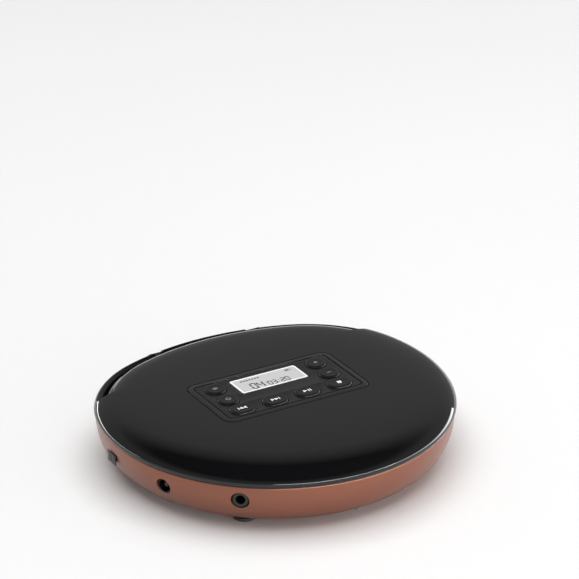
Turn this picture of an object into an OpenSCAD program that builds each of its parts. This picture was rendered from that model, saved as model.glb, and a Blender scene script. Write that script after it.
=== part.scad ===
// Portable disc player: a round clamshell body with a flatter back, a domed lid hinged at the rear,
// a disc well with a clamping hub, a sled-driven laser pickup and two cylindrical cells.
// Millimetres. X runs left to right, Y from the front to the hinge, Z up from the feet.
// The origin is under the middle of the body, at the level of the feet.

/* [Body] */
// Width of the body, which is also the diameter of its front arc
body_w = 140; // [139:0.5:142]
// Distance from the centre of the front arc to the rear edge
back_reach = 59.8; // [59.7:0.1:60.2]
// Radius of the flatter back arc
back_r = 102.3; // [101:0.1:103]
// Radius of the two rear corners
corner_r = 51.3; // [50.5:0.1:52]
// Thickness of the case wall
wall = 1.5; // [1.3:0.1:1.6]
// Height of the top edge of the case
split_z = 20.2; // [20.1:0.05:20.3]
// Height of the rubber feet
foot_h = 1; // [0.8:0.1:1.2]

/* [Lid] */
// Height of the lower edge of the lid
lid_z = 20.5; // [20.45:0.05:20.6]
// Height of the flat middle of the lid above its lower edge
lid_rise = 7.2; // [7.2:0.1:7.6]
// Thickness of the lid's skin
lid_skin = 1.4; // [1.3:0.1:1.5]
// Width of the fixed strip behind the lid
strip_w = 3.8; // [3.7:0.1:3.9]
// Where the fixed strip begins at each side, along Y
strip_from_y = 33; // [30:1:36]

/* [Disc well] */
// Radius of the well that holds a 120 mm disc
well_r = 60.8; // [60.6:0.1:60.9]
// Height of the floor of the well
well_floor_z = 18.5; // [18.4:0.1:18.6]
// Height at which the disc rests
disc_z = 19.6; // [19.5:0.1:19.8]
// Radius of the centring hub inside a 15 mm disc hole
hub_r = 7.4; // [7.3:0.05:7.45]

/* [Keypad] */
// Width of the keypad panel
panel_w = 65; // [64:0.5:66]
// Depth of the keypad panel
panel_d = 35.4; // [35:0.2:36]
// Centre of the keypad panel along Y
panel_y = 2.6; // [2:0.1:3.2]
// Width of the display window
lcd_w = 29.2; // [28:0.2:30]
// Depth of the display window
lcd_d = 11.6; // [11:0.2:12]
// Centre of the display window along Y
lcd_y = 9.7; // [9.3:0.1:10]
// Diameter of the four round buttons
round_button_d = 8.4; // [8:0.1:8.6]
// How far a button stands above the panel
button_rise = 0.8; // [0.6:0.1:0.9]

/* [Mechanism] */
// Distance of the lens from the spindle at rest
lens_x = 24; // [23.5:0.5:24]
// Travel of the pickup sled
sled_travel = 32; // [30:1:32]
// Half the distance between the guide rods
rod_y = 13; // [12.5:0.5:13]
// Diameter of an AA cell
cell_d = 14.2; // [14:0.1:14.2]
// Length of an AA cell with its positive tip
cell_l = 50.5; // [50:0.5:50.5]
// Teeth on the large sled gear
gear_teeth = 36; // [36:2:36]
// Teeth on the small sled gear that drives the rack
rack_pinion_teeth = 16; // [16:2:16]
// Teeth on the motor pinion
pinion_teeth = 12; // [12:1:12]

/* [Hidden] */
$fn = 64;
BLACK = [0.02, 0.02, 0.022];
PANEL_GREY = [0.06, 0.06, 0.065];
COPPER = [0.62, 0.36, 0.26];
DARK = [0.12, 0.12, 0.13];
STEEL = [0.72, 0.73, 0.75];
GREEN = [0.05, 0.28, 0.14];
WHITE = [0.9, 0.9, 0.9];

// Plan of the body: a front arc, two rear corner arcs and a back arc, each tangent to the next.
front_r = body_w / 2;
front_y = (front_r - back_reach) / 2;
back_y = front_y + back_reach - back_r;
arc_gap = front_y - back_y;
corner_dy = (pow(back_r - corner_r, 2) - pow(front_r - corner_r, 2) - pow(arc_gap, 2)) / (2 * arc_gap);
corner_x = sqrt(pow(front_r - corner_r, 2) - pow(corner_dy, 2));
corner_y = front_y + corner_dy;
side_dir = [corner_x, corner_dy] / (front_r - corner_r);
rear_dir = [corner_x, corner_dy + arc_gap] / (back_r - corner_r);
// Length of the wedges' sides, beyond the body's edge
reach = 125;
function left(p) = [-p[0], p[1]];
FRONT_C = [0, front_y];
CORNER_C = [corner_x, corner_y];
BACK_C = [0, back_y];

// Profiles are lists of [inset from the plan's edge, height], from the bottom up.
base_z = foot_h;
floor_t = 1.4;
CASE_OUTER = [[14.5, base_z], [10.5, base_z + 1], [7, 3.8], [4.2, 6.5], [2.2, 10], [1.1, 13.5],
    [0.6, 17], [0.55, split_z - 0.6], [0.85, split_z]];
CASE_INNER = [[14.5 + wall, base_z + floor_t], [10.5 + 1.1, base_z + 2.3], [8.3, 4.9],
    [5.6, 7.3], [2.2 + wall, 10.4], [1.1 + wall, 13.7], [0.6 + wall, 17], [0.55 + wall, split_z + 1]];
CASE_ROOT = [for (p = CASE_INNER) [p[0] - 0.4, p[1] - 0.4]];
lid_top = lid_z + lid_rise;
LID_OUTER = [[0.3, lid_z], [0, lid_z + 0.4], [0, lid_z + 1.4], [0.35, lid_z + 2.1],
    [1.2, lid_z + 3.2], [3, lid_z + 4.6], [6, lid_z + 5.7], [12, lid_z + 6.5],
    [22, lid_z + 6.95], [34, lid_z + 7.15], [46, lid_top]];
LID_INNER = [[1.6, lid_z - 1], [1.6, lid_z + 1.8], [2.4, lid_z + 2.7], [4, lid_z + 3.6],
    [7, lid_z + 4.5], [13, lid_z + 5.2], [22, lid_top - lid_skin - 0.15], [46, lid_top - lid_skin]];
// The rear shoulder stands in by the strip's width and runs out into the dome.
shoulder_from = 3;
shoulder_to = 12.6;
LID_REAR_SHOULDER = concat([for (p = LID_OUTER) if (p[0] < 12)
    [p[0] + strip_w * min(1, (shoulder_to - p[0]) / (shoulder_to - shoulder_from)), p[1]]],
    [[shoulder_to, lid_z + 6.55]]);
LID_REAR_NOTCH = concat(LID_REAR_SHOULDER, [[shoulder_to, 39], [-1, 39], [-1, lid_z - 1],
    [LID_REAR_SHOULDER[0][0], lid_z - 1]]);
LID_REAR_INNER = [for (p = LID_INNER) [p[0] + strip_w, p[1]]];
strip_z = split_z + 0.1;
STRIP_SECTION = [[3.45, strip_z], [0.3, strip_z], [0, strip_z + 0.5], [0, strip_z + 1.2],
    [0.5, strip_z + 2.2], [1.3, strip_z + 2.9], [2.2, strip_z + 3.1], [2.9, strip_z + 2.5],
    [3.45, strip_z + 1.7]];

// Hinge
hinge_y = 60.7;
hinge_z = 22;
knuckle_r = 1.1;
pin_r = 0.5;
pin_clearance = 0.05;
knuckle_from = 19;
knuckle_to = 25;
arm_from = 20.9;
arm_to = 23.1;
strip_web_t = 0.35;

// Disc drive
spindle_y = -0.8;
deck_inset = 0.6 + wall + 0.15;
deck_floor_t = 1.2;
deck_under_z = well_floor_z - deck_floor_t;
chassis_z = 14.6;
chassis_t = 1.4;
rod_r = 1;
rod_z = 12.5;
sled_z0 = 10.5;
sled_z1 = 15.2;
sled_x0 = -8.5;
sled_x1 = 5;
CLAMP_ANGLES = [36, 156, 276];

// Gears: the compound sled gear carries the rack's pinion on top of a large wheel.
rack_module = 0.4;
gear_module = 0.5;
rack_pitch_r = rack_module * rack_pinion_teeth / 2;
gear_pitch_r = gear_module * gear_teeth / 2;
pinion_pitch_r = gear_module * pinion_teeth / 2;
rack_pitch_y = spindle_y - 17.4;
gear_x = 28;
gear_y = rack_pitch_y - rack_pitch_r;
pinion_direction = 206;
pinion_x = gear_x + (gear_pitch_r + pinion_pitch_r) * cos(pinion_direction);
pinion_y = gear_y + (gear_pitch_r + pinion_pitch_r) * sin(pinion_direction);
wheel_z = 8.8;
wheel_t = 1.2;
rack_z = 10.6;
rack_t = 2;

// Cells and bay
cell_z = base_z + floor_t + 0.5 + cell_d / 2;
cell_1_y = 31.8;
cell_2_y = 46.3;
bay_half = 27.2;
bay_y0 = 24.2;
bay_wall = 1.1;
plate_t = 0.4;
door_half = bay_half - 0.4;
door_y0 = bay_y0 + 0.3;
door_z1 = 8.5;
door_gap = 0.15;

// Boards and sockets
board_z = 9.6;
board_t = 1.2;
board_inset = 8;
board_y1 = -33.5;
board_x1 = -26;
jack_angle = 229;
jack_z = 14.2;
jack_bore_r = 1.8;
dc_angle = 203;
dc_z = 13.4;
dc_bore_r = 2.6;
hold_y = 9;
hold_z = 13.4;
slider_angle = 0;
slider_travel = 3;
slider_z = 14;
spring_stop_y = 9.9;

// Keypad stack inside the lid
panel_t = 1;
panel_top = lid_top + 0.02;
panel_under = panel_top - panel_t;
liner_z = 22.8;
liner_t = 0.8;
liner_inset = 3.3;
lid_board_z = 23.9;
lid_board_t = 0.8;
key_h = 0.4;
button_x = 22.4;
button_row_1 = 12;
button_row_2 = 1.9;
button_row_3 = -7.3;
oval_button_w = 10.4;
oval_button_d = 8;
oval_step = 14.27;
button_gap = 0.15;
plunger_z = 25.6;
flange_z = 25.8;
flange_t = 0.5;
POSTS = [[44, -28], [-44, -28], [45, 30], [-45, 30], [0, -52]];
FEET = [[37, -36], [-37, -36], [37, 31], [-37, 31]];
LID_POSTS = [[50, -16], [-50, -16], [42, 34], [-42, 34]];

// ---- Shared shapes ----

// A section turned about an arc's centre and kept inside a wedge of the plan.
module swept(centre, wedge, section) intersection() {
    translate(centre) rotate_extrude($fn = 96) polygon(section);
    linear_extrude(height = 40) polygon(wedge);
}

// The four wedges that share the plan between its arcs meet along the lines through the arcs' centres.
FRONT_WEDGE = [FRONT_C, FRONT_C + reach * left(side_dir), [-reach, -reach], [reach, -reach],
    FRONT_C + reach * side_dir];
CORNER_WEDGE = [CORNER_C, CORNER_C + reach * side_dir, CORNER_C + reach * rear_dir];
BACK_WEDGE = [BACK_C, BACK_C + reach * rear_dir, BACK_C + reach * left(rear_dir)];
function mirrored(points) = [for (p = points) left(p)];

// A profile closed to the arc's axis makes a solid body
function solid_section(r, profile) = concat([[0, profile[0][1]]], [for (p = profile) [r - p[0], p[1]]],
    [[0, profile[len(profile) - 1][1]]]);

module body_solid(profile) {
    swept(FRONT_C, FRONT_WEDGE, solid_section(front_r, profile));
    swept(CORNER_C, CORNER_WEDGE, solid_section(corner_r, profile));
    swept(left(CORNER_C), mirrored(CORNER_WEDGE), solid_section(corner_r, profile));
    swept(BACK_C, BACK_WEDGE, solid_section(back_r, profile));
}

// A closed section swept along the corner and back arcs
module rear_ring(section) {
    swept(CORNER_C, CORNER_WEDGE, ring_section(corner_r, section));
    swept(left(CORNER_C), mirrored(CORNER_WEDGE), ring_section(corner_r, section));
    swept(BACK_C, BACK_WEDGE, ring_section(back_r, section));
}
function ring_section(r, section) = [for (p = section) [r - p[0], p[1]]];

module plan_slab(inset, z0, z1) body_solid([[inset, z0], [inset, z1]]);

module box(x0, x1, y0, y1, z0, z1) translate([x0, y0, z0]) cube([x1 - x0, y1 - y0, z1 - z0]);

module disc(x, y, z0, z1, r) translate([x, y, z0]) cylinder(h = z1 - z0, r = r);

module rod_x(x0, x1, y, z, r) translate([x0, y, z]) rotate([0, 90, 0]) cylinder(h = x1 - x0, r = r);

// Places its children at an angle round the front arc, with +X pointing outward.
module at_rim(angle, z) translate([0, front_y, z]) rotate([0, 0, angle]) children();

// A slab with round corners, made of two bars and four discs.
module round_slab(w, d, r, z0, z1) {
    box(-w / 2 + r, w / 2 - r, -d / 2, d / 2, z0, z1);
    box(-w / 2, w / 2, -d / 2 + r, d / 2 - r, z0, z1);
    for (sx = [-1, 1], sy = [-1, 1])
        disc(sx * (w / 2 - r), sy * (d / 2 - r), z0, z1, r);
}

// An oval button outline: a bar with round ends.
module oval(w, d, z0, z1) {
    box(-(w - d) / 2, (w - d) / 2, -d / 2, d / 2, z0, z1);
    for (s = [-1, 1]) disc(s * (w - d) / 2, 0, z0, z1, d / 2);
}

// Involute gear outline
function inv(t) = t - atan(t * PI / 180);
function polar(r, a) = [r * cos(a), r * sin(a)];
function base_r(m, n) = m * n / 2 * cos(20);
function roll_at(r, rb) = r <= rb ? 0 : sqrt(pow(r / rb, 2) - 1) * 180 / PI;
function flank(rb, ra, half, steps) = [for (i = [0:steps])
    let (t = roll_at(ra, rb) * i / steps)
    [rb * sqrt(1 + pow(t * PI / 180, 2)), half + inv(tan(20) * 180 / PI) - inv(t)]];
function gear_points(m, n, backlash) = let (
    rp = m * n / 2,
    rb = base_r(m, n),
    rr = rp - 1.1 * m,
    half = 90 / n - backlash / rp * 90 / PI,
    side = flank(rb, rp + 0.65 * m, half, 3))
    [for (i = [0:n - 1]) let (c = i * 360 / n) each concat(
        rr < rb ? [polar(rr, c - side[0][1])] : [],
        [for (p = side) polar(p[0], c - p[1])],
        [for (j = [len(side) - 1:-1:0]) polar(side[j][0], c + side[j][1])],
        rr < rb ? [polar(rr, c + side[0][1])] : [])];

module gear(m, n, h) linear_extrude(height = h) polygon(gear_points(m, n, 0.1));

// ---- Case ----

module battery_opening(gap)
    box(-door_half - gap, door_half + gap, door_y0 - gap, 80, -1, door_z1 + gap);

module case_wall() difference() {
    body_solid(CASE_OUTER);
    body_solid(CASE_INNER);
}

module lower_case() color(COPPER) {
    difference() {
        case_wall();
        battery_opening(0);
        at_rim(jack_angle, jack_z) rotate([0, 90, 0]) translate([0, 0, 60]) cylinder(h = 15, r = 3.5);
        at_rim(dc_angle, dc_z) rotate([0, 90, 0]) translate([0, 0, 60]) cylinder(h = 15, r = 3.2);
        box(-75, -60, hold_y - 4.2, hold_y + 4.2, hold_z - 1.2, hold_z + 1.2);
        at_rim(slider_angle, slider_z) box(60, 75, -3.4, 3.4 + slider_travel, -1.2, 1.2);
        for (p = POSTS) {
            disc(p[0], p[1], base_z - 1, base_z + 0.6, 2.6);
            disc(p[0], p[1], base_z - 1, 5, 1.2);
        }
        for (p = FEET) disc(p[0], p[1], base_z - 1, base_z + 0.5, 4.6);
    }
    difference() {
        intersection() {
            union() {
                box(-bay_half - bay_wall, bay_half + bay_wall, bay_y0 - bay_wall, 54, base_z, 16.6);
                at_rim(slider_angle, slider_z) box(63.8, 70, spring_stop_y, spring_stop_y + 1.2, -2, 2);
            }
            body_solid(CASE_ROOT);
        }
        box(-bay_half, bay_half, bay_y0, 80, -1, 30);
    }
    for (p = POSTS) difference() {
        disc(p[0], p[1], base_z + 1, 8.8, 2.6);
        disc(p[0], p[1], base_z - 1, 9, 1.2);
    }
}

module battery_door() color(COPPER) difference() {
    intersection() {
        case_wall();
        battery_opening(-door_gap);
    }
    for (i = [0:3]) box(-9, 9, 42 + i * 1.6, 42.7 + i * 1.6, base_z - 1, base_z + 0.4);
}

module rubber_feet() color(DARK) for (p = FEET) {
    disc(p[0], p[1], 0.3, base_z + 0.5, 4.5);
    disc(p[0], p[1], 0, 0.3, 4.1);
}

module screw(x, y, z, head_r, shank_r, l) translate([x, y, z]) difference() {
    union() {
        cylinder(h = 0.5, r = head_r);
        cylinder(h = l, r = shank_r);
    }
    for (a = [0, 90]) rotate([0, 0, a]) translate([-head_r * 0.6, -0.3, -0.1]) cube([head_r * 1.2, 0.6, 0.4]);
}

module case_screws() color(STEEL)
    for (p = POSTS) screw(p[0], p[1], base_z + 0.05, 2.3, 1, 12);

// The deck holds the disc well, hangs over the mechanism and carries the posts for the case screws.
module deck() color(BLACK) {
    difference() {
        plan_slab(deck_inset, deck_under_z, split_z);
        disc(0, spindle_y, well_floor_z, split_z + 1, well_r);
        disc(0, spindle_y, deck_under_z - 1, split_z, 16.5);
        translate([0, spindle_y, 0]) box(0, 50, -10, 10, deck_under_z - 1, split_z);
        disc(50, spindle_y, deck_under_z - 1, split_z, 10);
        at_rim(slider_angle, 0) box(63.6, 65.8, -4, 2.2, deck_under_z - 1, split_z + 1);
        box(-64.4, -61.6, spindle_y - 6.2, spindle_y - 3.8, deck_under_z - 1, split_z + 1);
    }
    for (p = POSTS) difference() {
        disc(p[0], p[1], 8.9, deck_under_z + 0.2, 2.6);
        disc(p[0], p[1], 8.8, base_z + 12.4, 1);
    }
}

// Fixed strip behind the lid: a ring section swept along the rear arcs, with the hinge's outer knuckles.
module knuckle(x0, x1) {
    rod_x(x0, x1, hinge_y, hinge_z, knuckle_r);
    box(x0, x1, hinge_y - 0.8, hinge_y + 0.8, strip_z, hinge_z);
}

module both_sides() for (s = [0, 1]) mirror([s, 0, 0]) children();

module rear_strip() color(BLACK) difference() {
    union() {
        difference() {
            rear_ring(STRIP_SECTION);
            box(-80, 80, -80, strip_from_y + 0.2, 0, 40);
            both_sides() box(knuckle_from, knuckle_to, 50, 70, strip_z + strip_web_t, 40);
        }
        both_sides() {
            knuckle(knuckle_from - 0.2, arm_from - 0.2);
            knuckle(arm_to + 0.2, knuckle_to + 0.2);
        }
    }
    rod_x(-30, 30, hinge_y, hinge_z, pin_r);
}

module hinge_pins() color(STEEL) for (s = [-1, 1]) {
    x0 = s > 0 ? knuckle_from + 0.1 : -knuckle_to + 0.1;
    rod_x(x0, x0 + knuckle_to - knuckle_from - 0.2, hinge_y, hinge_z, pin_r);
}

// ---- Electronics in the base ----

module main_board() color(GREEN) difference() {
    intersection() {
        plan_slab(board_inset, board_z, board_z + board_t);
        box(-80, 80, -80, 22, 0, 30);
    }
    box(board_x1, 80, board_y1, 30, 0, 30);
    for (p = POSTS) disc(p[0], p[1], 0, 30, 3);
}

module board_chips() color(DARK) {
    top = board_z + board_t;
    box(-8, 8, -47.5, -35.5, top, top + 1.6);
    box(15, 25, -48, -39, top, top + 1.2);
    box(-22, -13, -47, -38, top, top + 1.2);
    box(29, 34, -46, -40, top, top + 1);
    box(-46, -36, -12, 0, top, top + 1.4);
    box(-38, -32, 8, 14, top, top + 1);
}

module board_capacitors() color([0.15, 0.15, 0.3]) {
    top = board_z + board_t;
    for (p = [[-30, -48], [-52, 2], [-52, -8], [29, -49], [39, -42]])
        disc(p[0], p[1], top, top + 5, 2.1);
}

module headphone_jack() color(BLACK) difference() {
    union() {
        at_rim(jack_angle, jack_z) box(54, 66, -3.6, 3.6, board_z + board_t - jack_z, 2.9);
        at_rim(jack_angle, jack_z) rotate([0, 90, 0]) translate([0, 0, 60]) cylinder(h = 8.2, r = 2.9);
    }
    at_rim(jack_angle, jack_z) rotate([0, 90, 0]) translate([0, 0, 55]) cylinder(h = 20, r = jack_bore_r);
}

module dc_socket() color(BLACK) difference() {
    union() {
        at_rim(dc_angle, dc_z) box(56, 66, -4, 4, board_z + board_t - dc_z, 2.8);
        at_rim(dc_angle, dc_z) rotate([0, 90, 0]) translate([0, 0, 62.5]) cylinder(h = 5.5, r = 3);
    }
    at_rim(dc_angle, dc_z) rotate([0, 90, 0]) difference() {
        translate([0, 0, 58]) cylinder(h = 15, r = dc_bore_r);
        translate([0, 0, 57]) cylinder(h = 10, r = 0.85);
    }
}

module hold_switch() color(STEEL)
    box(-65.2, -60.6, hold_y - 5.5, hold_y + 5.5, board_z + board_t, hold_z + 2);

module hold_knob() color(DARK) {
    box(-68.4, -65.3, hold_y - 2.6, hold_y - 0.2, hold_z - 1.05, hold_z + 1.05);
    box(-69.8, -69.2, hold_y - 4.4, hold_y + 1.6, hold_z - 2, hold_z + 2);
    box(-69.3, -68.3, hold_y - 2.6, hold_y - 0.2, hold_z - 1.05, hold_z + 1.05);
}

module lid_switch() color(DARK) {
    box(-66, -60, spindle_y - 8, spindle_y - 2, 14.6, deck_under_z);
    box(-64, -62, spindle_y - 6, spindle_y - 4, deck_under_z, split_z - 0.4);
}

// ---- Cells ----

module cell(y, direction) {
    x_tip = bay_half - plate_t;
    body_l = cell_l - 1;
    translate([0, y, cell_z]) rotate([0, 0, direction > 0 ? 0 : 180]) {
        rod_x(x_tip - cell_l, x_tip - cell_l + body_l, 0, 0, cell_d / 2);
        rod_x(x_tip - 1, x_tip, 0, 0, 2.7);
    }
}

module battery_1() color([0.2, 0.2, 0.22]) cell(cell_1_y, 1);

module battery_2() color([0.2, 0.2, 0.22]) cell(cell_2_y, -1);

module battery_springs() color(STEEL) {
    gap = 2 * (bay_half - plate_t) - cell_l;
    for (c = [[cell_1_y, 0], [cell_2_y, 180]])
        translate([0, c[0], cell_z]) rotate([0, 0, c[1]])
            for (i = [0:2]) translate([-bay_half + plate_t + i * gap / 3, 0, 0]) rotate([0, 90, 0])
                difference() {
                    cylinder(h = gap / 3, r = 3.8 - i * 0.6);
                    translate([0, 0, -1]) cylinder(h = gap, r = 2.9 - i * 0.6);
                }
}

module battery_plates() color(STEEL) for (s = [-1, 1]) {
    x0 = s > 0 ? bay_half - plate_t : -bay_half;
    box(x0, x0 + plate_t, cell_1_y - 5, cell_2_y + 3.5, cell_z - 3.5, cell_z + 4);
}

// ---- Disc drive ----

module traverse_chassis() color(STEEL) {
    difference() {
        intersection() {
            union() {
                translate([0, spindle_y, 0])
                    box(-20, 63.2, -21, 21, chassis_z, chassis_z + chassis_t);
                for (s = [-1, 1])
                    box(44, 52, spindle_y + (s > 0 ? 20 : -24.2), spindle_y + (s > 0 ? 24.2 : -20),
                        chassis_z, chassis_z + chassis_t);
                box(8, 37, -33, -20, chassis_z, chassis_z + chassis_t);
            }
            plan_slab(3.6, chassis_z - 1, chassis_z + 4);
        }
        translate([0, spindle_y, 0]) box(14.2, 61.4, -18.9, 17.4, chassis_z - 1, chassis_z + 3);
        disc(0, spindle_y, chassis_z - 1, chassis_z + 3, 4.2);
    }
    for (sy = [-1, 1], x = [11, 61.5])
        difference() {
            box(x, x + 1.6, spindle_y + sy * rod_y - 1.8, spindle_y + sy * rod_y + 1.8, rod_z - 1.3, chassis_z);
            rod_x(x - 1, x + 3, spindle_y + sy * rod_y, rod_z, rod_r);
        }
    disc(gear_x, gear_y, 8.2, chassis_z, 1);
}

module rubber_dampers() color(DARK)
    for (p = [[-15, 15], [-15, -15], [48, 22.1], [48, -22.1]])
        disc(p[0], p[1] + spindle_y, chassis_z + chassis_t, deck_under_z, 2);

module spindle_motor() color(STEEL) {
    disc(0, spindle_y, 7.6, chassis_z, 10);
    disc(0, spindle_y, chassis_z - 0.5, chassis_z + 1, 4);
    disc(0, spindle_y, chassis_z, disc_z + 1, 0.9);
}

module turntable() color(BLACK) translate([0, spindle_y, 0]) difference() {
    union() {
        disc(0, 0, disc_z - 1.1, disc_z - 0.3, 14.6);
        disc(0, 0, disc_z - 2.2, disc_z - 1, 5.5);
        difference() {
            disc(0, 0, disc_z - 0.4, disc_z, 14.6);
            disc(0, 0, disc_z - 0.5, disc_z + 1, 12.6);
        }
        disc(0, 0, disc_z - 0.4, disc_z + 1.7, hub_r);
        disc(0, 0, disc_z + 1.6, disc_z + 2.1, hub_r - 0.8);
    }
    disc(0, 0, disc_z - 5, disc_z + 1.2, 0.93);
    for (a = CLAMP_ANGLES) rotate([0, 0, a]) {
        box(hub_r - 3, hub_r - 1.2, -1.1, 1.1, disc_z - 0.2, disc_z + 1.8);
        box(hub_r - 1.3, hub_r + 1, -1.1, 1.1, disc_z + 1.25, disc_z + 1.8);
    }
}

// The clamps are pressed in, flush with the hub, as they are while a disc goes on.
module disc_clamps() color(DARK) translate([0, spindle_y, 0]) for (a = CLAMP_ANGLES)
    rotate([0, 0, a]) {
        box(hub_r - 2.9, hub_r - 1.3, -1, 1, disc_z - 0.2, disc_z + 1.6);
        box(hub_r - 1.4, hub_r - 0.05, -1, 1, disc_z + 1.3, disc_z + 1.6);
    }

module guide_rod_front() color(STEEL) rod_x(11, 63.1, spindle_y - rod_y, rod_z, rod_r);

module guide_rod_rear() color(STEEL) rod_x(11, 63.1, spindle_y + rod_y, rod_z, rod_r);

module sled_motor() color(STEEL) {
    disc(pinion_x, pinion_y, 10.4, chassis_z, 5.6);
    disc(pinion_x, pinion_y, 8.4, 10.5, 0.7);
}

module motor_pinion() color(WHITE) translate([pinion_x, pinion_y, wheel_z - 0.2])
    rotate([0, 0, pinion_direction + 180 + 180 / pinion_teeth]) difference() {
        gear(gear_module, pinion_teeth, wheel_t + 0.2);
        translate([0, 0, -1]) cylinder(h = 5, r = 0.73);
    }

module sled_gear() color(WHITE) translate([gear_x, gear_y, 0]) difference() {
    union() {
        translate([0, 0, wheel_z]) rotate([0, 0, pinion_direction]) gear(gear_module, gear_teeth, wheel_t);
        translate([0, 0, wheel_z + wheel_t - 0.1]) rotate([0, 0, 90])
            gear(rack_module, rack_pinion_teeth, rack_z + rack_t - wheel_z - wheel_t + 0.1);
    }
    disc(0, 0, 5, 20, 1.05);
}

// Rack teeth stand on the sled's front side and point to the gear.
module rack() {
    pitch = PI * rack_module;
    half_top = pitch / 4 - 0.05 - 0.65 * rack_module * tan(20);
    half_root = pitch / 4 - 0.05 + 1.1 * rack_module * tan(20);
    first = ceil((lens_x - sled_travel + 3 - gear_x) / pitch - 0.5);
    last = floor((lens_x + 4.4 - gear_x) / pitch - 0.5);
    root_y = rack_pitch_y + 1.1 * rack_module;
    tip_y = rack_pitch_y - 0.65 * rack_module;
    translate([0, 0, rack_z]) linear_extrude(height = rack_t)
        for (i = [first:last]) let (x = gear_x + (i + 0.5) * pitch)
            polygon([[x - half_root, root_y], [x - half_top, tip_y], [x + half_top, tip_y],
                [x + half_root, root_y]]);
    box(gear_x + first * pitch, gear_x + (last + 1) * pitch, root_y - 0.01, root_y + 0.9,
        rack_z, rack_z + rack_t);
}

module pickup_sled() color([0.3, 0.3, 0.33]) {
    difference() {
        union() {
            translate([lens_x, spindle_y, 0]) {
                box(sled_x0, sled_x1, -12, 12, sled_z0, sled_z1);
                for (s = [-1, 1]) box(sled_x0, sled_x1, s > 0 ? 9 : -16, s > 0 ? 16 : -9, sled_z0, 14.2);
                box(sled_x0, sled_x1, -16.4, -9, rack_z, rack_z + rack_t);
            }
        }
        rod_x(0, 70, spindle_y - rod_y, rod_z, rod_r + 0.06);
        rod_x(0, 70, spindle_y + rod_y, rod_z, rod_r + 0.06);
        translate([lens_x, spindle_y, 0]) box(-6.5, 3.4, -7, 7, sled_z1 - 2, sled_z1 + 1);
    }
    rack();
}

module lens_holder() color(BLACK) translate([lens_x, spindle_y, 0]) difference() {
    union() {
        box(-5.6, 2.8, -5.8, 5.8, sled_z1 - 1.2, sled_z1 + 0.6);
        disc(0, 0, sled_z1, sled_z1 + 2.2, 2.7);
    }
    disc(0, 0, sled_z1 - 2, sled_z1 + 4, 1.9);
}

module objective_lens() color([0.5, 0.6, 0.85]) translate([lens_x, spindle_y, sled_z1 + 0.7]) {
    cylinder(h = 1.2, r = 1.9);
    translate([0, 0, 1.2]) cylinder(h = 0.6, r1 = 1.9, r2 = 1.1);
}

// ---- Lid ----

// The front of the lid reaches the plan's edge and its rear shoulder is notched for the strip.
module lid_outside() difference() {
    body_solid(LID_OUTER);
    difference() {
        rear_ring(LID_REAR_NOTCH);
        box(-80, 80, -80, strip_from_y, 0, 40);
    }
}

module lid_inside() intersection() {
    body_solid(LID_INNER);
    union() {
        body_solid(LID_REAR_INNER);
        box(-80, 80, -80, strip_from_y - lid_skin, 0, 40);
    }
}

module hinge_arm(s) {
    x0 = s > 0 ? arm_from : -arm_to;
    difference() {
        union() {
            rod_x(x0, x0 + arm_to - arm_from, hinge_y, hinge_z, knuckle_r);
            box(x0, x0 + arm_to - arm_from, hinge_y - 3.4, hinge_y, hinge_z - 0.9, hinge_z + 0.7);
        }
        rod_x(x0 - 1, x0 + 5, hinge_y, hinge_z, pin_r + pin_clearance);
    }
}

module lid_shell() color(BLACK) {
    difference() {
        lid_outside();
        lid_inside();
        translate([0, panel_y, 0]) round_slab(panel_w, panel_d, 5.5, panel_under, lid_top + 2);
        translate([0, panel_y, 0]) round_slab(panel_w - 5, panel_d - 5, 3.5, 20, lid_top + 2);
    }
    difference() {
        translate([0, panel_y, 0]) round_slab(panel_w + 3, panel_d + 3, 6, 25.9, panel_under);
        translate([0, panel_y, 0]) round_slab(panel_w - 5, panel_d - 5, 3.5, 20, lid_top + 2);
    }
    for (p = LID_POSTS) difference() {
        disc(p[0], p[1], liner_z + liner_t, lid_z + 5.8, 2.2);
        disc(p[0], p[1], liner_z, lid_z + 4.8, 0.8);
    }
    for (s = [-1, 1]) hinge_arm(s);
}

module lid_liner() color(DARK) {
    difference() {
        intersection() {
            plan_slab(liner_inset, liner_z, liner_z + liner_t);
            union() {
                plan_slab(strip_w + liner_inset, 0, 40);
                box(-80, 80, -80, strip_from_y - 1.8, 0, 40);
            }
        }
        for (p = LID_POSTS) disc(p[0], p[1], 20, 26, 1);
    }
    for (s = [-1, 1], y = [-8, 16]) disc(s * 26, y, liner_z + liner_t - 0.1, lid_board_z, 1.6);
    at_rim(slider_angle, 0) {
        box(64.1, 65.3, -3.4, 0.6, slider_z, liner_z + 0.1);
        box(64.1, 65.3, -3.4, 1.6, slider_z, slider_z + 1);
    }
    disc(-63, spindle_y - 5, split_z - 0.3, liner_z + 0.1, 0.8);
}

module lid_screws() color(STEEL)
    for (p = LID_POSTS) screw(p[0], p[1], liner_z - 0.5, 1.9, 0.8, 2.9);

// ---- Keypad and display ----

module at_round_buttons() for (s = [-1, 1], y = [button_row_1, button_row_2])
    translate([s * button_x, y, 0]) children();

module at_oval_buttons() for (i = [0:3])
    translate([(i - 1.5) * oval_step, button_row_3, 0]) children();

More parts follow.
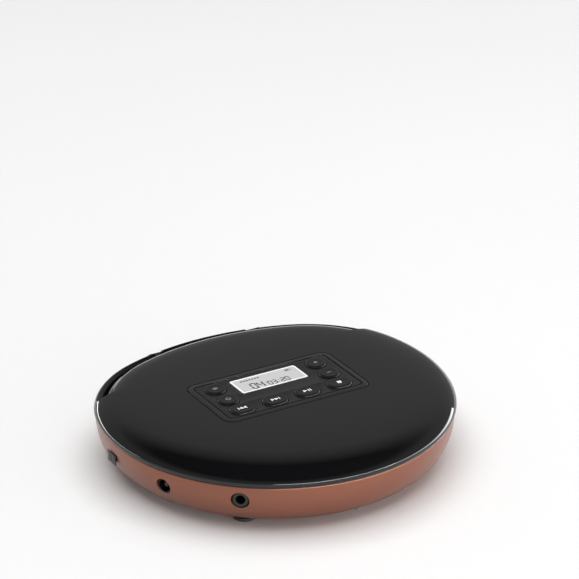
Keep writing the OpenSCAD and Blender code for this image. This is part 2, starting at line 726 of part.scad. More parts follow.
module keypad_panel() color(PANEL_GREY) difference() {
    union() {
        translate([0, panel_y, 0]) round_slab(panel_w - 0.3, panel_d - 0.3, 5.4, panel_under, panel_top - 0.4);
        translate([0, panel_y, 0]) round_slab(panel_w - 1.6, panel_d - 1.6, 4.8, panel_under, panel_top);
    }
    translate([0, panel_y, 0]) difference() {
        round_slab(panel_w - 4.6, panel_d - 4.6, 3.7, panel_top - 0.25, panel_top + 1);
        round_slab(panel_w - 5.4, panel_d - 5.4, 3.3, panel_top - 0.5, panel_top + 2);
    }
    translate([0, lcd_y, 0]) round_slab(lcd_w + 0.2, lcd_d + 0.2, 1, 20, 30);
    at_round_buttons() disc(0, 0, 20, 30, round_button_d / 2 + button_gap);
    at_oval_buttons() oval(oval_button_w + 2 * button_gap, oval_button_d + 2 * button_gap, 20, 30);
}

module lcd_window() color([0.85, 0.88, 0.87]) translate([0, lcd_y, 0])
    round_slab(lcd_w, lcd_d, 0.9, panel_under + 0.1, panel_top - 0.05);

module lcd_module() color([0.7, 0.74, 0.7]) translate([0, lcd_y, 0])
    box(-15.8, 15.8, -7, 7, 25.5, panel_under);

module lcd_frame() color(WHITE) translate([0, lcd_y, 0]) difference() {
    box(-16.3, 16.3, -7.4, 7.4, lid_board_z + lid_board_t, 26.2);
    box(-15.85, 15.85, -7.05, 7.05, 25.5, 30);
}

module lid_board() color(GREEN)
    translate([0, panel_y, 0]) box(-30.5, 30.5, -15.5, 16, lid_board_z, lid_board_z + lid_board_t);

module key_switches() color(STEEL) {
    at_round_buttons() disc(0, 0, lid_board_z + lid_board_t, lid_board_z + lid_board_t + key_h, 2);
    at_oval_buttons() disc(0, 0, lid_board_z + lid_board_t, lid_board_z + lid_board_t + key_h, 2);
}

module round_button(s, y) color(PANEL_GREY) translate([s * button_x, y, 0]) {
    disc(0, 0, flange_z, flange_z + flange_t, round_button_d / 2 + 0.45);
    disc(0, 0, flange_z, panel_top + button_rise - 0.35, round_button_d / 2);
    translate([0, 0, panel_top + button_rise - 0.35])
        cylinder(h = 0.35, r1 = round_button_d / 2, r2 = round_button_d / 2 - 0.7);
    disc(0, 0, plunger_z, flange_z + 0.1, 1.2);
}

module oval_button(i) color(PANEL_GREY) translate([(i - 1.5) * oval_step, button_row_3, 0]) {
    oval(oval_button_w + 0.9, oval_button_d + 0.9, flange_z, flange_z + flange_t);
    oval(oval_button_w, oval_button_d, flange_z, panel_top + button_rise - 0.35);
    oval(oval_button_w - 1, oval_button_d - 1, flange_z, panel_top + button_rise);
    disc(0, 0, plunger_z, flange_z + 0.1, 1.2);
}

module eq_button() round_button(-1, button_row_1);

module mode_button() round_button(-1, button_row_2);

module volume_up_button() round_button(1, button_row_1);

module volume_down_button() round_button(1, button_row_2);

module previous_button() oval_button(0);

module next_button() oval_button(1);

module play_button() oval_button(2);

module stop_button() oval_button(3);

// ---- Lid release ----

module open_slider() color(DARK) at_rim(slider_angle, slider_z) {
    difference() {
        box(69.42, 69.97, -5, 5, -2.4, 2.4);
        for (i = [-2:2]) box(69.75, 71, i * 1.6 - 0.35, i * 1.6 + 0.35, -1.8, 1.8);
    }
    box(66.2, 69.5, -3, 3, -1, 1);
    box(65.5, 66.3, -4.5, 4.5, -1.6, 2.2);
    box(64.2, 65.6, 1.8, 4.2, 1.2, 2.2);
}

module latch_spring() color(STEEL) at_rim(slider_angle, slider_z)
    for (i = [0:4]) translate([65, 5.2 + i * 1.1, 0]) rotate([90, 0, 0]) difference() {
        cylinder(h = 0.5, r = 1.3);
        translate([0, 0, -1]) cylinder(h = 3, r = 0.9);
    }

lower_case();
deck();
rear_strip();
battery_door();
rubber_feet();
case_screws();
main_board();
board_chips();
board_capacitors();
headphone_jack();
dc_socket();
hold_switch();
hold_knob();
lid_switch();
battery_1();
battery_2();
battery_springs();
battery_plates();
traverse_chassis();
rubber_dampers();
spindle_motor();
turntable();
disc_clamps();
guide_rod_front();
guide_rod_rear();
sled_motor();
motor_pinion();
sled_gear();
pickup_sled();
lens_holder();
objective_lens();
lid_shell();
lid_liner();
lid_screws();
hinge_pins();
keypad_panel();
lcd_window();
lcd_module();
lcd_frame();
lid_board();
key_switches();
eq_button();
mode_button();
volume_up_button();
volume_down_button();
previous_button();
next_button();
play_button();
stop_button();
open_slider();
latch_spring();
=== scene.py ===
import math

import bmesh
import bpy
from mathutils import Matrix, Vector


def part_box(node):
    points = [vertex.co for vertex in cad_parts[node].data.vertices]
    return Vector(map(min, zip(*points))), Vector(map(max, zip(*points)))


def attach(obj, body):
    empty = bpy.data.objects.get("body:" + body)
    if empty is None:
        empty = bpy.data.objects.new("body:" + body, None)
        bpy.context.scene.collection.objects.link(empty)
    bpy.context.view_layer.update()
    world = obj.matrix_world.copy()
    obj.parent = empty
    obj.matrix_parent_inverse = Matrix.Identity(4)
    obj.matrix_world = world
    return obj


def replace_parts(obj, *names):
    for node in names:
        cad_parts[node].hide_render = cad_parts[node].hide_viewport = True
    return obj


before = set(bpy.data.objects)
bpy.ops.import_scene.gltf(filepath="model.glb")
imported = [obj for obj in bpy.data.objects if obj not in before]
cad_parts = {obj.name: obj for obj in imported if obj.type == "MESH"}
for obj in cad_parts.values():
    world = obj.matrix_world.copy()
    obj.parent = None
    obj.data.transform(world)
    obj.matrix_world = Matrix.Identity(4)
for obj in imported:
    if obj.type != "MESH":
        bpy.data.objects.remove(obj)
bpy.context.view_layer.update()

MM = 0.001


def node_mm(node):
    """The lowest and highest corners of a CAD node, in millimetres."""
    low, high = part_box(node)
    return Vector(low) / MM, Vector(high) / MM


# ---------------------------------------------------------------- sizes, in millimetres

lid_low, lid_high = node_mm("lid_shell")
strip_low, strip_high = node_mm("rear_strip")
panel_low, panel_high = node_mm("keypad_panel")
window_low, window_high = node_mm("lcd_window")
pins_low, pins_high = node_mm("hinge_pins")

# Plan: a front arc, two corner arcs and a back arc, each tangent to the next. The front and back
# arcs have their centres on x = 0, and the angles are those at which one arc passes into the next.
FRONT_R = lid_high.x
FRONT_Y = lid_low.y + FRONT_R
BACK_R = 102.3
CORNER_R = 51.3
BACK_Y = strip_high.y - BACK_R
GAP = FRONT_Y - BACK_Y
CORNER_DY = ((BACK_R - CORNER_R) ** 2 - (FRONT_R - CORNER_R) ** 2 - GAP ** 2) / (2 * GAP)
CORNER_X = math.sqrt((FRONT_R - CORNER_R) ** 2 - CORNER_DY ** 2)
CORNER_Y = FRONT_Y + CORNER_DY
SIDE_ANGLE = math.atan2(CORNER_DY, CORNER_X)
REAR_ANGLE = math.atan2(CORNER_DY + GAP, CORNER_X)
ARCS = {"front": (0, FRONT_Y, FRONT_R), "corner": (CORNER_X, CORNER_Y, CORNER_R),
        "back": (0, BACK_Y, BACK_R)}

# Points along each half of a ring
FRONT_STEPS = 96
SIDE_STEPS = 14
REAR_STEPS = 26
CASE_POINTS_PER_MM = 0.7

# Rear zone: the lid stands in by STRIP_W behind STRIP_FROM_Y, at full width up to the inset
# SHOULDER_FROM and fading out at the inset SHOULDER_TO
STRIP_W = 3.8
STRIP_FROM_Y = 33.0
STRIP_END_GAP = 0.2
SHOULDER_FROM = 3.0
SHOULDER_TO = 12.6

# Profiles, each a list of (inset from the plan's edge, height)
LID_SKIN = 1.4
DOME_FROM = 22.0
DOME_STEPS = 14
LID_OUTER = [(0.3, 20.5), (0, 20.9), (0, 21.9), (0.35, 22.6), (1.2, 23.7), (3, 25.1), (6, 26.2),
             (12, 27.0), (22, 27.45), (34, 27.65), (46, 27.7), (58, 27.7)]
LID_INNER = [(22, 26.15), (13, 25.7), (7, 25.0), (4, 24.1), (2.4, 23.2), (1.6, 22.3), (1.6, 20.5)]
CASE_OUTER = [(14.5, 1), (10.5, 2), (7, 3.8), (4.2, 6.5), (2.2, 10), (1.1, 13.5), (0.6, 17),
              (0.55, 19.6)]
CASE_LIP = [(0.6, 19.82), (0.7, 20.0), (0.86, 20.12), (1.05, 20.18), (1.25, 20.2)]
CASE_INNER = [(1.95, 20.2), (2.1, 17), (2.6, 13.7), (3.7, 10.4), (5.6, 7.3), (8.3, 4.9),
              (11.6, 3.3), (16, 2.4)]
CASE_FLOOR_INSET = 22
CASE_FLOOR_UNDER = 1
CASE_FLOOR_TOP = 2.4
STRIP_SECTION = [(0.9, 20.3), (0.15, 20.35), (0, 20.9), (0, 21.5), (0.4, 22.5), (1.2, 23.25),
                 (2.2, 23.4), (2.95, 22.9), (3.45, 22.0), (3.45, 20.6), (3.2, 20.3)]

# Hinge: the pins' axis, the barrels round it, and the arms that reach forward to the lid. The
# spans are along x.
PIN_Y = (pins_low.y + pins_high.y) / 2
PIN_Z = (pins_low.z + pins_high.z) / 2
BARREL_R = 1.1
ARM_REACH = 3.4
ARM_ABOVE, ARM_BELOW = 0.75, 0.9
ARM_SPANS = ((20.9, 23.1), (-23.1, -20.9))
KNUCKLE_SPANS = ((18.8, 20.7), (23.3, 25.2), (-20.7, -18.8), (-25.2, -23.3))
NOTCH_SPANS = ((19, 25), (-25, -19))
NOTCH_FLOOR = strip_low.z + 0.35

# Holes in the case: the round ones are (angle about the front arc's centre in degrees, height,
# radius), and the others are boxes from corner to corner
JACK_HOLE = (229, 14.2, 3.5)
DC_HOLE = (203, 13.4, 3.2)
HOLD_SLOT = ((-75, 4.8, 12.2), (-60, 13.2, 14.6))
OPEN_SLOT = ((60, 1.7, 12.8), (75, 11.5, 15.2))
BATTERY_OPENING = ((-26.8, 24.5, -1), (26.8, 80, 8.5))
DOOR_BOX = ((-26.65, 24.65, -1), (26.65, 80, 8.35))
SCREW_PLACES = ((44, -28), (-44, -28), (45, 30), (-45, 30), (0, -52))
SCREW_WELL_R = 2.6
SCREW_WELL_TOP = 1.6

# Battery compartment: outer and inner faces of its walls
BAY_SIDE = (28.3, 27.2)
BAY_FRONT = (23.1, 24.2)
BAY_REAR = 52
BAY_Z = (2.3, 16.6)

# Keypad: the border is a little narrower than the CAD panel, and PANEL_GAP is the gap round it,
# whose dark floor is a sheet of painted shade
PANEL_W = panel_high.x - panel_low.x - 1.3
PANEL_D = panel_high.y - panel_low.y - 0.5
PANEL_R = 4.2
PANEL_GAP = 0.42
PANEL_Y = (panel_high.y + panel_low.y) / 2
PANEL_TOP = panel_high.z
PANEL_UNDER = panel_low.z
LEDGE_IN = 2.2
LEDGE_OUT = 1.6
LEDGE_SKIN = 0.8
PLATE_INSET = 2.62
PLATE_EDGE = 0.12
WINDOW_Y = (window_high.y + window_low.y) / 2
WINDOW_W = window_high.x - window_low.x
WINDOW_D = window_high.y - window_low.y
KEY_FLANGE = 0.45
KEY_FLANGE_Z = (25.8, 26.3)


# ---------------------------------------------------------------- curves

def bspline(points, per_span):
    """A smooth open cubic curve that is pulled by its points and meets the first and the last."""
    p = [points[0]] * 2 + list(points) + [points[-1]] * 2
    out = []
    for i in range(len(p) - 3):
        for j in range(per_span):
            t = j / per_span
            w = ((1 - t) ** 3 / 6, (3 * t ** 3 - 6 * t * t + 4) / 6,
                 (-3 * t ** 3 + 3 * t * t + 3 * t + 1) / 6, t ** 3 / 6)
            out.append(tuple(sum(w[k] * p[i + k][c] for k in range(4)) for c in range(2)))
    out.append(tuple(points[-1]))
    return out


PER_SPAN = 6
LID_CURVE = bspline(LID_OUTER, PER_SPAN)


def lid_height(inset):
    """Height of the lid's smooth top at an inset, past the profile's first span, the rim."""
    for a, b in zip(LID_CURVE[PER_SPAN:], LID_CURVE[PER_SPAN + 1:]):
        if a[0] <= inset <= b[0] and b[0] > a[0]:
            return a[1] + (b[1] - a[1]) * (inset - a[0]) / (b[0] - a[0])
    return LID_CURVE[-1][1]


def inset_at(x, y):
    """Distance of a point from the edge of the plan."""
    px = abs(x)
    found = []
    front = math.atan2(y - FRONT_Y, px)
    if front <= SIDE_ANGLE:
        found.append(FRONT_R - math.hypot(px, y - FRONT_Y))
    corner = math.atan2(y - CORNER_Y, px - CORNER_X)
    if SIDE_ANGLE <= corner <= REAR_ANGLE:
        found.append(CORNER_R - math.hypot(px - CORNER_X, y - CORNER_Y))
    if math.atan2(y - BACK_Y, px) >= REAR_ANGLE:
        found.append(BACK_R - math.hypot(px, y - BACK_Y))
    return min(found)


def arc_point(arc, angle, inset):
    """A point at an inset from one of the plan's arcs: front, corner or back."""
    x, y, r = ARCS[arc]
    return Vector((x + (r - inset) * math.cos(angle), y + (r - inset) * math.sin(angle)))


def spread(start, end, count):
    """Evenly spaced values, one more than count, with both ends."""
    return [start + (end - start) * i / count for i in range(count + 1)]


def split_angle(inset, split_y):
    """Angle on a corner arc, at that inset, at which it crosses y = split_y."""
    return math.asin(min(1, (split_y - CORNER_Y) / (CORNER_R - inset)))


def rear_half(inset, start):
    """Points from an angle on the right corner arc to the middle of the back."""
    corner = [arc_point("corner", a, inset) for a in spread(start, REAR_ANGLE, REAR_STEPS)]
    back = [arc_point("back", a, inset) for a in spread(REAR_ANGLE, math.pi / 2, REAR_STEPS)]
    return corner + back[1:]


def front_half(inset, end):
    """Points from the middle of the front to an angle on the right corner arc."""
    front = [arc_point("front", a, inset) for a in spread(-math.pi / 2, SIDE_ANGLE, FRONT_STEPS)]
    corner = [arc_point("corner", a, inset) for a in spread(SIDE_ANGLE, end, SIDE_STEPS)]
    return front + corner[1:]


def both_halves(half, first):
    """Mirrors a half outline to the other side. first says which end lies on the middle line."""
    other = [Vector((-p.x, p.y)) for p in reversed(half)]
    return half + other[1:] if first == "end" else other[:-1] + half


def stepped_ring(inset, z, split_y, shift):
    """A ring round the lid whose rear zone stands in by shift, to leave room for the strip."""
    fixed = min(inset, SHOULDER_TO)
    rear = rear_half(inset + shift, split_angle(fixed + shift, split_y))
    front = front_half(inset, split_angle(fixed, split_y))
    return [(p.x, p.y, z) for p in both_halves(rear, "end") + both_halves(front, "start")]


def plain_ring(inset, z):
    """A closed ring round the whole plan at one inset."""
    right = []
    for arc, start, end in (("front", -math.pi / 2, SIDE_ANGLE), ("corner", SIDE_ANGLE, REAR_ANGLE),
                            ("back", REAR_ANGLE, math.pi / 2)):
        count = max(6, int(ARCS[arc][2] * (end - start) * CASE_POINTS_PER_MM))
        right += [arc_point(arc, a, inset) for a in spread(start, end, count)[:-1]]
    left = [Vector((-p.x, p.y)) for p in reversed(right[1:])]
    back = arc_point("back", math.pi / 2, inset)
    return [(p.x, p.y, z) for p in right + [back] + left]


def rect_loop(w, d, r, z, y=0.0, per_corner=10):
    """A rectangle with round corners, centred on x = 0."""
    out = []
    for k, (sx, sy) in enumerate(((1, 1), (-1, 1), (-1, -1), (1, -1))):
        cx, cy = sx * (w / 2 - r), y + sy * (d / 2 - r)
        for a in spread(k * math.pi / 2, (k + 1) * math.pi / 2, per_corner):
            out.append((cx + r * math.cos(a), cy + r * math.sin(a), z))
    return out


def flat(loop):
    """The plan of a loop."""
    return [(x, y) for x, y, _ in loop]


def rect_ray(w, d, r, direction):
    """Where a ray from the middle of a round-cornered rectangle meets its edge."""
    tiny, far = 1e-9, 1e9
    ux, uy = abs(direction.x), abs(direction.y)
    t = min(w / 2 / ux if ux > tiny else far, d / 2 / uy if uy > tiny else far)
    cx, cy = w / 2 - r, d / 2 - r
    if t * ux > cx and t * uy > cy:
        dot = ux * cx + uy * cy
        t = dot + math.sqrt(max(0, dot * dot - cx * cx - cy * cy + r * r))
    return direction * t


# ---------------------------------------------------------------- meshes

def new_object(name, vertices, faces):
    """A mesh object from points in millimetres."""
    mesh = bpy.data.meshes.new(name)
    mesh.from_pydata([Vector(v) * MM for v in vertices], [], faces)
    mesh.update()
    piece = bpy.data.objects.new(name, mesh)
    bpy.context.scene.collection.objects.link(piece)
    return piece


def weld(piece, distance=0.002, sharp=32):
    """Merges points closer than distance in millimetres, turns normals outward and marks edges
    that turn by more than sharp degrees as hard."""
    bm = bmesh.new()
    bm.from_mesh(piece.data)
    bmesh.ops.remove_doubles(bm, verts=bm.verts, dist=distance * MM)
    bmesh.ops.dissolve_degenerate(bm, edges=bm.edges, dist=distance * MM * 0.5)
    bmesh.ops.recalc_face_normals(bm, faces=bm.faces)
    for face in bm.faces:
        face.smooth = True
    for edge in bm.edges:
        edge.smooth = len(edge.link_faces) != 2 or edge.calc_face_angle(0) < math.radians(sharp)
    bm.to_mesh(piece.data)
    bm.free()
    return piece


def rings(name, loops, closed_section=False, caps=(False, False), sharp=32):
    """A skin through closed loops of equal length. With closed_section the last loop joins the
    first, and caps says whether the first and the last loop are filled."""
    n = len(loops[0])
    vertices = [v for loop in loops for v in loop]
    faces = []
    for i in range(len(loops) if closed_section else len(loops) - 1):
        a, b = i * n, (i + 1) % len(loops) * n
        for j in range(n):
            k = (j + 1) % n
            faces.append((a + j, a + k, b + k, b + j))
    if caps[0]:
        faces.append(tuple(range(n)))
    if caps[1]:
        faces.append(tuple(range((len(loops) - 1) * n, len(loops) * n)))
    return weld(new_object(name, vertices, faces), sharp=sharp)


def box_piece(name, low, high):
    """A box from corner to corner."""
    x0, y0, z0 = low
    x1, y1, z1 = high
    corners = [(x, y, z) for z in (z0, z1) for x, y in ((x0, y0), (x1, y0), (x1, y1), (x0, y1))]
    faces = [(3, 2, 1, 0), (4, 5, 6, 7), (0, 1, 5, 4), (1, 2, 6, 5), (2, 3, 7, 6), (3, 0, 4, 7)]
    return new_object(name, corners, faces)


def rod_piece(name, start, end, radius, sides=48):
    """A capped cylinder between two points."""
    start, end = Vector(start), Vector(end)
    axis = (end - start).normalized()
    across = axis.orthogonal().normalized()
    other = axis.cross(across)
    loops = []
    for p in (start, end):
        loops.append([tuple(p + radius * (math.cos(a) * across + math.sin(a) * other))
                      for a in spread(0, math.tau, sides)[:-1]])
    return rings(name, loops, caps=(True, True))


def apply_modifiers(piece):
    """Replaces a piece's mesh with what its modifiers make of it."""
    graph = bpy.context.evaluated_depsgraph_get()
    result = bpy.data.meshes.new_from_object(piece.evaluated_get(graph))
    piece.modifiers.clear()
    piece.data = result


def combine(piece, operation, tools, sharp=32):
    """Adds, cuts or intersects with other pieces, then removes them."""
    for tool in tools:
        change = piece.modifiers.new("change", "BOOLEAN")
        change.operation = operation
        change.solver = "EXACT"
        change.object = tool
    apply_modifiers(piece)
    for tool in tools:
        bpy.data.objects.remove(tool)
    return weld(piece, sharp=sharp)


def soft_boxes(name, boxes, edge=0.1):
    """Boxes that overlap as one piece, with rounded edges."""
    piece = box_piece(name, *boxes[0])
    combine(piece, "UNION", [box_piece("part", low, high) for low, high in boxes[1:]])
    change = piece.modifiers.new("soft", "BEVEL")
    change.width = edge * MM
    change.segments = 3
    change.limit_method = "ANGLE"
    apply_modifiers(piece)
    return weld(piece, distance=0.001)


def plate(name, outlines, z0, z1, edge, sharp=32):
    """A flat plate with rounded edges. The first outline is its edge, the others are holes."""
    curve = bpy.data.curves.new(name, "CURVE")
    curve.dimensions = "2D"
    curve.fill_mode = "BOTH"
    curve.extrude = ((z1 - z0) / 2 - edge) * MM
    curve.bevel_depth = edge * MM
    curve.bevel_resolution = 3
    for outline in outlines:
        line = curve.splines.new("POLY")
        line.points.add(len(outline) - 1)
        for point, p in zip(line.points, outline):
            point.co = (p[0] * MM, p[1] * MM, 0, 1)
        line.use_cyclic_u = True
    holder = bpy.data.objects.new(name + "_curve", curve)
    bpy.context.scene.collection.objects.link(holder)
    graph = bpy.context.evaluated_depsgraph_get()
    mesh = bpy.data.meshes.new_from_object(holder.evaluated_get(graph))
    bpy.data.objects.remove(holder)
    mesh.name = name
    for vertex in mesh.vertices:
        vertex.co.z += (z0 + z1) / 2 * MM
    piece = bpy.data.objects.new(name, mesh)
    bpy.context.scene.collection.objects.link(piece)
    return weld(piece, distance=0.004, sharp=sharp)


def prism_faces(n, start):
    """Faces of a prism whose two ends, of n points each, are numbered on from start."""
    ends = [tuple(start + i for i in reversed(range(n))), tuple(start + n + i for i in range(n))]
    return ends + [(start + i, start + (i + 1) % n, start + n + (i + 1) % n, start + n + i)
                   for i in range(n)]


def prints(name, outlines, z0, z1):
    """Upright prisms with sharp edges, one for each outline in millimetres."""
    vertices, faces = [], []
    for outline in outlines:
        faces += prism_faces(len(outline), len(vertices))
        vertices += [(x, y, z) for z in (z0, z1) for x, y in outline]
    piece = new_object(name, vertices, faces)
    bm = bmesh.new()
    bm.from_mesh(piece.data)
    bmesh.ops.recalc_face_normals(bm, faces=bm.faces)
    bm.to_mesh(piece.data)
    bm.free()
    return piece


# ---------------------------------------------------------------- materials

def surface(name, color, roughness, metallic=0.0, grain_mm=0.4, bump_mm=0.0, tint=0.06,
            spread_of_gloss=0.04, stretch=(1, 1, 1), coat=0.0, coat_roughness=0.03, alpha=1.0,
            specular=0.5):
    """A moulded, painted or metal surface: base colour, gloss and a fine relief all vary with a
    noise. tint and spread_of_gloss say how much."""
    made = bpy.data.materials.new(name)
    made.use_nodes = True
    nodes, links = made.node_tree.nodes, made.node_tree.links
    shader = nodes["Principled BSDF"]
    shader.inputs["Metallic"].default_value = metallic
    shader.inputs["Coat Weight"].default_value = coat
    shader.inputs["Coat Roughness"].default_value = coat_roughness
    shader.inputs["Alpha"].default_value = alpha
    shader.inputs["IOR"].default_value = 1.5
    shader.inputs["Specular IOR Level"].default_value = specular
    place = nodes.new("ShaderNodeTexCoord")
    mapping = nodes.new("ShaderNodeMapping")
    mapping.inputs["Scale"].default_value = stretch
    links.new(place.outputs["Object"], mapping.inputs["Vector"])
    noise = nodes.new("ShaderNodeTexNoise")
    noise.inputs["Scale"].default_value = 1 / (grain_mm * MM)
    noise.inputs["Detail"].default_value = 4
    links.new(mapping.outputs["Vector"], noise.inputs["Vector"])
    colors = nodes.new("ShaderNodeMix")
    colors.data_type = "RGBA"
    colors.inputs["A"].default_value = (*[c * (1 - tint) for c in color], 1)
    colors.inputs["B"].default_value = (*[min(1, c * (1 + tint)) for c in color], 1)
    links.new(noise.outputs["Fac"], colors.inputs["Factor"])
    links.new(colors.outputs["Result"], shader.inputs["Base Color"])
    gloss = nodes.new("ShaderNodeMapRange")
    gloss.inputs["To Min"].default_value = max(0, roughness - spread_of_gloss)
    gloss.inputs["To Max"].default_value = roughness + spread_of_gloss
    links.new(noise.outputs["Fac"], gloss.inputs["Value"])
    links.new(gloss.outputs["Result"], shader.inputs["Roughness"])
    if bump_mm:
        relief = nodes.new("ShaderNodeBump")
        relief.inputs["Distance"].default_value = bump_mm * MM
        relief.inputs["Strength"].default_value = 0.6
        links.new(noise.outputs["Fac"], relief.inputs["Height"])
        links.new(relief.outputs["Normal"], shader.inputs["Normal"])
    return made


GLOSS_BLACK = surface("gloss_black", (0.0035, 0.0035, 0.004), 0.035, grain_mm=30, tint=0.1,
                      spread_of_gloss=0.012)
COPPER = surface("copper_paint", (0.235, 0.086, 0.052), 0.34, metallic=0.7, grain_mm=0.12,
                 bump_mm=0.003, tint=0.14, spread_of_gloss=0.06, coat=0.2, coat_roughness=0.1)
PANEL = surface("panel_satin", (0.010, 0.010, 0.011), 0.34, grain_mm=0.15, bump_mm=0.003, tint=0.1)
# The border is dark satin like the panel, made a little lighter: painted sheen for the light that
# its sloping sides catch
SHEEN_LIT_BEZEL = surface("bezel_satin_and_painted_sheen", (0.015, 0.015, 0.016), 0.36, grain_mm=0.15, bump_mm=0.003, tint=0.1)
# Near-black matte sheets that lie on the floors of the fine gaps round the keypad: painted shade
GAP_SHADE = surface("painted_gap_shade", (0.0015, 0.0015, 0.0015), 0.7, grain_mm=0.3, tint=0.1,
                 specular=0.06)
BUTTON = surface("button_satin", (0.009, 0.009, 0.010), 0.32, grain_mm=0.3, bump_mm=0.001,
                 tint=0.08, specular=0.38)
INK = surface("printed_white", (0.75, 0.75, 0.75), 0.45, grain_mm=0.2, tint=0.05)
DIM_INK = surface("printed_grey", (0.3, 0.3, 0.3), 0.45, grain_mm=0.2, tint=0.05)
LCD = surface("display_grey", (0.55, 0.56, 0.55), 0.18, grain_mm=0.25, tint=0.03, coat=1.0)
SEGMENT = surface("display_segments", (0.006, 0.006, 0.006), 0.4, grain_mm=0.3, tint=0.1,
                  specular=0.25)
LCD_EDGE = surface("display_edge", (0.86, 0.86, 0.86), 0.25, grain_mm=0.5, tint=0.03)
DECK = surface("deck_matte", (0.026, 0.026, 0.028), 0.45, grain_mm=0.22, bump_mm=0.012, tint=0.15)
HUB = surface("hub_black", (0.012, 0.012, 0.013), 0.3, grain_mm=0.3, bump_mm=0.002, tint=0.1)
SOCKET = surface("socket_black", (0.004, 0.004, 0.004), 0.35, grain_mm=0.3, tint=0.1)
RUBBER = surface("rubber", (0.02, 0.02, 0.02), 0.75, grain_mm=0.15, bump_mm=0.01, tint=0.2)
STEEL = surface("bright_steel", (0.58, 0.58, 0.6), 0.24, metallic=1.0, grain_mm=0.1, bump_mm=0.002,
                tint=0.06, stretch=(0.05, 1, 1))
PLATED = surface("zinc_plate", (0.46, 0.47, 0.49), 0.38, metallic=1.0, grain_mm=0.5,
                 bump_mm=0.003, tint=0.12)
NICKEL = surface("nickel", (0.6, 0.59, 0.55), 0.22, metallic=1.0, grain_mm=0.3, tint=0.06)
BOARD = surface("solder_mask", (0.01, 0.10, 0.04), 0.28, grain_mm=1.2, bump_mm=0.01, tint=0.3,
                coat=0.3)
COMPONENT = surface("epoxy", (0.018, 0.018, 0.018), 0.55, grain_mm=0.12, bump_mm=0.006, tint=0.2)
SLEEVE = surface("capacitor_sleeve", (0.02, 0.02, 0.09), 0.25, grain_mm=1.0, tint=0.1)
CELL = surface("cell_wrap", (0.03, 0.035, 0.045), 0.25, grain_mm=3.0, tint=0.25, coat=0.4)
ACETAL = surface("acetal", (0.72, 0.7, 0.63), 0.4, grain_mm=0.4, bump_mm=0.002, tint=0.05)
CAST = surface("die_cast", (0.17, 0.17, 0.185), 0.45, metallic=0.8, grain_mm=0.25, bump_mm=0.008,
               tint=0.2)
LENS = surface("coated_lens", (0.12, 0.10, 0.35), 0.03, grain_mm=4, tint=0.4, coat=1.0, alpha=0.85)

NODE_MATERIALS = {
    "deck": DECK, "lid_liner": DECK, "rubber_feet": RUBBER, "rubber_dampers": RUBBER,
    "case_screws": STEEL, "lid_screws": STEEL, "hinge_pins": STEEL, "guide_rod_front": STEEL,
    "guide_rod_rear": STEEL, "main_board": BOARD, "lid_board": BOARD, "board_chips": COMPONENT,
    "headphone_jack": SOCKET, "dc_socket": SOCKET, "lid_switch": COMPONENT,
    "board_capacitors": SLEEVE, "hold_switch": NICKEL, "key_switches": NICKEL,
    "battery_plates": NICKEL, "battery_springs": NICKEL, "latch_spring": NICKEL,
    "battery_1": CELL, "battery_2": CELL, "traverse_chassis": PLATED, "spindle_motor": PLATED,
    "sled_motor": PLATED, "turntable": HUB, "disc_clamps": HUB, "motor_pinion": ACETAL,
    "sled_gear": ACETAL, "pickup_sled": CAST, "lens_holder": COMPONENT, "objective_lens": LENS,
    "lcd_module": LCD, "lcd_frame": LCD_EDGE,
}


def wear(piece, made):
    """Gives a piece one material, and returns the piece."""
    piece.data.materials.clear()
    piece.data.materials.append(made)
    return piece


for node, made in NODE_MATERIALS.items():
    for material_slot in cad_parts[node].material_slots:
        material_slot.material = made


# ---------------------------------------------------------------- lid

def lid_shift(inset):
    """How far the rear shoulder stands in, at a level of the lid's profile."""
    fade = (SHOULDER_TO - inset) / (SHOULDER_TO - SHOULDER_FROM)
    return STRIP_W * min(1.0, max(0.0, fade))


def toward_panel(ring, grow):
    """The points of the panel's outline, grown by that much, that a ring's points look at."""
    w, d, r = PANEL_W + 2 * grow, PANEL_D + 2 * grow, PANEL_R + grow
    centre = Vector((0, PANEL_Y))
    return [centre + rect_ray(w, d, r, (Vector((x, y)) - centre).normalized()) for x, y, _ in ring]


def lid_cover():
    """The glossy lid: a domed top with a rounded shoulder, and the pocket that the keypad panel
    lies in."""
    loops = [stepped_ring(inset, z, STRIP_FROM_Y, lid_shift(inset))
             for inset, z in LID_CURVE if inset <= DOME_FROM]
    base = loops[-1]
    edge = toward_panel(base, PANEL_GAP)
    for t in spread(0, 1, DOME_STEPS)[1:]:
        loop = []
        for (x, y, _), e in zip(base, edge):
            px, py = x + (e.x - x) * t, y + (e.y - y) * t
            loop.append((px, py, lid_height(inset_at(px, py))))
        loops.append(loop)
    ledge = PANEL_UNDER - LEDGE_SKIN
    for grow, z in ((PANEL_GAP, PANEL_UNDER), (-LEDGE_IN, PANEL_UNDER), (-LEDGE_IN, ledge),
                    (LEDGE_OUT, ledge)):
        loops.append([(p.x, p.y, z) for p in toward_panel(base, grow)])
    for inset, z in LID_INNER:
        loops.append(stepped_ring(inset, z, STRIP_FROM_Y - LID_SKIN, STRIP_W))
    return rings("lid_cover", loops, closed_section=True, sharp=38)


def hinge_arms():
    """Two arms under the lid's rear edge that turn on the pins."""
    outline = [(PIN_Y + BARREL_R * math.cos(a), PIN_Z + BARREL_R * math.sin(a))
               for a in spread(-math.pi / 2, math.pi / 2, 16)]
    outline += [(PIN_Y - ARM_REACH, PIN_Z + ARM_ABOVE), (PIN_Y - ARM_REACH, PIN_Z - ARM_BELOW)]
    vertices, faces = [], []
    for span in ARM_SPANS:
        faces += prism_faces(len(outline), len(vertices))
        vertices += [(x, y, z) for x in span for y, z in outline]
    return weld(new_object("lid_hinge_arms", vertices, faces))


lid = wear(lid_cover(), GLOSS_BLACK)
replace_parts(lid, "lid_shell")
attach(lid, "lid")
arms = wear(hinge_arms(), GLOSS_BLACK)
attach(arms, "lid")


# ---------------------------------------------------------------- rear strip

